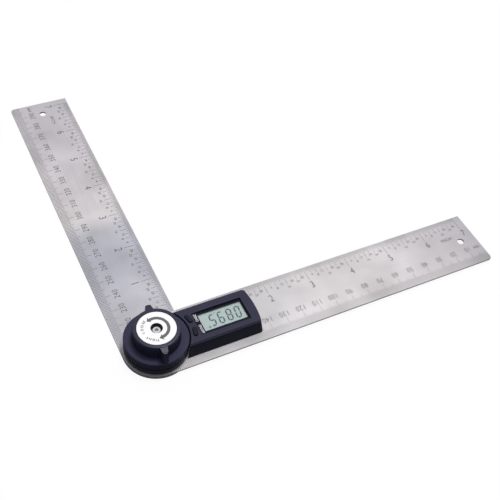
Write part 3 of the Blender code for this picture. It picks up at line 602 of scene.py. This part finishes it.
def makeBorder():
    z = windowTop + film["lift"]
    left, right, low, high = window["recess"]
    gap = window["edgeGap"]
    bpy.ops.mesh.primitive_plane_add(size=1, location=((left + right) / 2, (low + high) / 2, z))
    border = bpy.context.object
    border.scale = (right - left - 2 * gap, high - low - 2 * gap, 1)
    settle(border)
    bpy.ops.object.mode_set(mode="EDIT")
    bpy.ops.mesh.select_mode(type="FACE")
    bpy.ops.mesh.select_all(action="SELECT")
    bpy.ops.mesh.inset(thickness=window["inset"])
    bpy.ops.object.mode_set(mode="OBJECT")
    x0, x1, y0, y1 = window["opening"]
    for vertex in border.data.vertices:      # the inset's corners go to the opening's
        if vertex.select:
            vertex.co.x = x0 if vertex.co.x < (left + right) / 2 else x1
            vertex.co.y = y0 if vertex.co.y < (low + high) / 2 else y1
    bpy.ops.object.mode_set(mode="EDIT")
    bpy.ops.mesh.delete(type="FACE")
    bpy.ops.object.mode_set(mode="OBJECT")
    applied(border, "SOLIDIFY", thickness=film["thickness"], offset=1.0)
    return border


place(makeBorder(), "window_border", "display_arm", windowInk)
wordZ = windowTop + 2 * film["lift"] + film["thickness"] * 1.5
items = [word(body, window["wordHeight"], window["wordX"], y, wordZ, -math.pi / 2, squeeze,
              weight=window["weight"]) for body, y, squeeze in window["words"]]
place(wordsToMesh(items), "window_words", "display_arm", windowWordInk)
print("window printed")

# Display: four leaning seven-bar digits, a point and a degree mark, read towards the pivot
display = {
    "top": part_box("display_panel")[1].z, "digitWidth": 3.15 * mm, "digitHeight": 7.4 * mm,
    "bar": 0.80 * mm, "gap": 0.10 * mm, "lean": 0.09,
    "tipShare": 0.1,        # a corner of the unit hexagon nearer to its middle line than this is a tip
    "digits": (("0", 45.05), ("8", 40.31), ("9", 35.50), ("5", 30.80)), "middleY": -0.22 * mm,
    "point": (33.25 * mm, 3.65 * mm, 0.34 * mm), "pointSteps": 12,        # place and radius
    "degree": (27.85 * mm, -3.65 * mm, 0.62 * mm, 0.30 * mm), "degreeSteps": 20,     # and wall
}
# the bars of a digit: a on top, then clockwise to f, and g across
litBars = {"0": "abcdef", "5": "acdfg", "8": "abcdefg", "9": "abcdfg"}


def makeBar(x, y, length, upright):
    bpy.ops.mesh.primitive_circle_add(vertices=6, radius=1.0, fill_type="NGON", location=(0, 0, 0))
    bar = bpy.context.object
    half = display["bar"] / 2
    for vertex in bar.data.vertices:       # two points and four shoulders
        side = math.copysign(1.0, vertex.co.y)
        tip = abs(vertex.co.x) < display["tipShare"]
        vertex.co.y = side * (length / 2 if tip else length / 2 - half)
        vertex.co.x = 0.0 if tip else math.copysign(half, vertex.co.x)
    bar.rotation_euler.z = 0.0 if upright else math.pi / 2
    bar.location = (x, y, 0)
    return settle(bar)


def makeDigit(digit, middle, z):
    wide = display["digitWidth"] - display["bar"]
    tall = display["digitHeight"] - display["bar"]
    gap = display["gap"]
    spots = {
        "a": (0, tall / 2, False), "d": (0, -tall / 2, False), "g": (0, 0, False),
        "b": (wide / 2, tall / 4, True), "c": (wide / 2, -tall / 4, True),
        "e": (-wide / 2, -tall / 4, True), "f": (-wide / 2, tall / 4, True),
    }
    bars = []
    for key in litBars[digit]:
        x, y, upright = spots[key]
        length = (tall / 2 if upright else wide) - 2 * gap
        bars.append(makeBar(x, y, length, upright))
    made = joined(bars)
    for vertex in made.data.vertices:      # the lean, then the turn that points its top to -Y
        vertex.co.x += vertex.co.y * display["lean"]
    made.rotation_euler.z = math.pi
    made.location = (middle * mm, display["middleY"], z)
    return settle(made)


def makeDisplay():
    z = display["top"] + film["lift"]
    made = [makeDigit(digit, middle, z) for digit, middle in display["digits"]]
    x, y, radius = display["point"]
    bpy.ops.mesh.primitive_circle_add(vertices=display["pointSteps"], radius=radius, fill_type="NGON",
                                      location=(x, y, z))
    made.append(settle(bpy.context.object))
    x, y, outer, thin = display["degree"]
    ring = makeBand(outer - thin, outer, math.tau, display["degreeSteps"], z)
    ring.location = (x, y, 0)
    made.append(cleaned(settle(ring)))
    whole = joined(made)
    pick(whole)
    bpy.ops.object.mode_set(mode="EDIT")
    bpy.ops.mesh.select_all(action="SELECT")
    bpy.ops.mesh.normals_make_consistent(inside=False)
    bpy.ops.object.mode_set(mode="OBJECT")
    for face in whole.data.polygons:
        face.select = face.normal.z < 0
    bpy.ops.object.mode_set(mode="EDIT")
    bpy.ops.mesh.select_mode(type="FACE")
    bpy.ops.mesh.flip_normals()
    bpy.ops.object.mode_set(mode="OBJECT")
    return applied(whole, "SOLIDIFY", thickness=film["thickness"], offset=1.0)


place(makeDisplay(), "display_digits", "display_arm", displayInk)
print("display lit")

# Floor, light and camera
studio = {
    "floorSize": 6.0, "floorZ": -0.0002, "floorRough": 0.9,
    "floorSeen": (1.0, 1.0, 1.0), "floorLit": (0.10, 0.10, 0.11),      # for the camera, and for other light
    "glow": 0.92, "mirrorGlow": 0.12,      # shares of plain white for the camera, and in reflections
    "roomLight": (0.26, 0.26, 0.27), "boxLight": (0.86, 0.85, 0.86),
    "boxWay": (0.28, 0.42, 0.86), "boxFrom": 0.20, "boxTo": 0.82,      # the box's edge, as a cosine
}


def makeFloor():
    bpy.ops.mesh.primitive_plane_add(size=studio["floorSize"], location=(0, 0, studio["floorZ"]))
    floor = settle(bpy.context.object)
    floor.name = "floor"
    material = bpy.data.materials.new("paleFloor")
    material.use_nodes = True
    tree = material.node_tree
    tree.nodes["Principled BSDF"].inputs["Roughness"].default_value = studio["floorRough"]
    tree.nodes["Principled BSDF"].inputs["Specular IOR Level"].default_value = 0.0
    n = addNodes(tree, path="ShaderNodeLightPath", seen="ShaderNodeMath", also="ShaderNodeMath",
                 part="ShaderNodeMath", most="ShaderNodeMath", glow="ShaderNodeEmission",
                 mix="ShaderNodeMixShader", color="ShaderNodeMix")
    n["color"].data_type = "RGBA"
    n["color"].inputs["A"].default_value = (*studio["floorLit"], 1.0)
    n["color"].inputs["B"].default_value = (*studio["floorSeen"], 1.0)
    n["also"].operation = "MAXIMUM"
    for name, share in (("seen", studio["glow"]), ("part", studio["mirrorGlow"])):
        n[name].operation = "MULTIPLY"
        n[name].inputs[1].default_value = share
    n["most"].operation = "MAXIMUM"
    link = tree.links.new
    link(n["path"].outputs["Is Camera Ray"], n["color"].inputs["Factor"])
    link(n["color"].outputs["Result"], tree.nodes["Principled BSDF"].inputs["Base Color"])
    link(n["path"].outputs["Is Camera Ray"], n["seen"].inputs[0])
    link(n["path"].outputs["Is Glossy Ray"], n["also"].inputs[0])
    link(n["path"].outputs["Is Transmission Ray"], n["also"].inputs[1])
    link(n["also"].outputs[0], n["part"].inputs[0])
    link(n["seen"].outputs[0], n["most"].inputs[0])
    link(n["part"].outputs[0], n["most"].inputs[1])
    link(n["most"].outputs[0], n["mix"].inputs["Fac"])
    link(tree.nodes["Principled BSDF"].outputs[0], n["mix"].inputs[1])
    link(n["glow"].outputs[0], n["mix"].inputs[2])
    link(n["mix"].outputs[0], tree.nodes["Material Output"].inputs["Surface"])
    floor.data.materials.append(material)


def makeWorld():
    # one broad soft box high behind the object, and a dim room round it
    world = bpy.data.worlds.new("studio")
    bpy.context.scene.world = world
    world.use_nodes = True
    tree = world.node_tree
    n = addNodes(tree, coords="ShaderNodeTexCoord", towards="ShaderNodeVectorMath",
                 spread="ShaderNodeMapRange", room="ShaderNodeMix", path="ShaderNodeLightPath",
                 mix="ShaderNodeMix")
    n["towards"].operation = "DOT_PRODUCT"
    n["towards"].inputs[1].default_value = Vector(studio["boxWay"]).normalized()
    n["spread"].interpolation_type = "SMOOTHSTEP"
    n["spread"].inputs["From Min"].default_value = studio["boxFrom"]
    n["spread"].inputs["From Max"].default_value = studio["boxTo"]
    for name in ("room", "mix"):
        n[name].data_type = "RGBA"
    n["room"].inputs["A"].default_value = (*studio["roomLight"], 1)
    n["room"].inputs["B"].default_value = (*studio["boxLight"], 1)
    n["mix"].inputs["B"].default_value = (1, 1, 1, 1)
    link = tree.links.new
    link(n["coords"].outputs["Generated"], n["towards"].inputs[0])
    link(n["towards"].outputs["Value"], n["spread"].inputs["Value"])
    link(n["spread"].outputs[0], n["room"].inputs["Factor"])
    link(n["path"].outputs["Is Camera Ray"], n["mix"].inputs["Factor"])
    link(n["room"].outputs["Result"], n["mix"].inputs["A"])
    link(n["mix"].outputs["Result"], tree.nodes["Background"].inputs["Color"])
    tree.nodes["Background"].inputs["Strength"].default_value = 1.0


lamps = (        # name, place, size, power in watts, colour
    ("top", (0.24, 0.14, 0.95), 0.22, 4.2, (1.0, 0.99, 0.98)),
    ("front", (0.30, -0.62, 0.46), 0.12, 0.12, (0.97, 0.98, 1.0)),
)
lampAim = Vector((0.05, 0.05, 0.0))


def makeLamps():
    for name, spot, size, power, color in lamps:
        bpy.ops.object.light_add(type="AREA", location=spot)
        lamp = bpy.context.object
        lamp.name = name
        lamp.data.size = size
        lamp.data.energy = power
        lamp.data.color = color
        lamp.rotation_euler = (lampAim - Vector(spot)).to_track_quat("-Z", "Y").to_euler()


view = {        # the photograph's own view: its place in metres, its axes, and its lens in mm
    "place": (-0.098444, -0.229305, 0.371221),
    "right": (0.892632, -0.441277, 0.092095),
    "up": (0.282962, 0.707532, 0.647558),
    "back": (-0.350913, -0.551972, 0.756430),
    "sensor": 36.0, "lens": 62.84, "nearest": 0.01, "farthest": 20.0,
}


def makeCamera():
    bpy.ops.object.camera_add(location=(0, 0, 0))
    camera = bpy.context.object
    turn = Matrix((view["right"], view["up"], view["back"])).transposed().to_4x4()
    camera.matrix_world = Matrix.Translation(view["place"]) @ turn
    camera.data.sensor_width = view["sensor"]
    camera.data.lens = view["lens"]
    camera.data.clip_start = view["nearest"]
    camera.data.clip_end = view["farthest"]
    bpy.context.scene.camera = camera


makeFloor()
makeWorld()
makeLamps()
makeCamera()
bpy.context.scene.view_settings.view_transform = "Standard"
print("stage set")
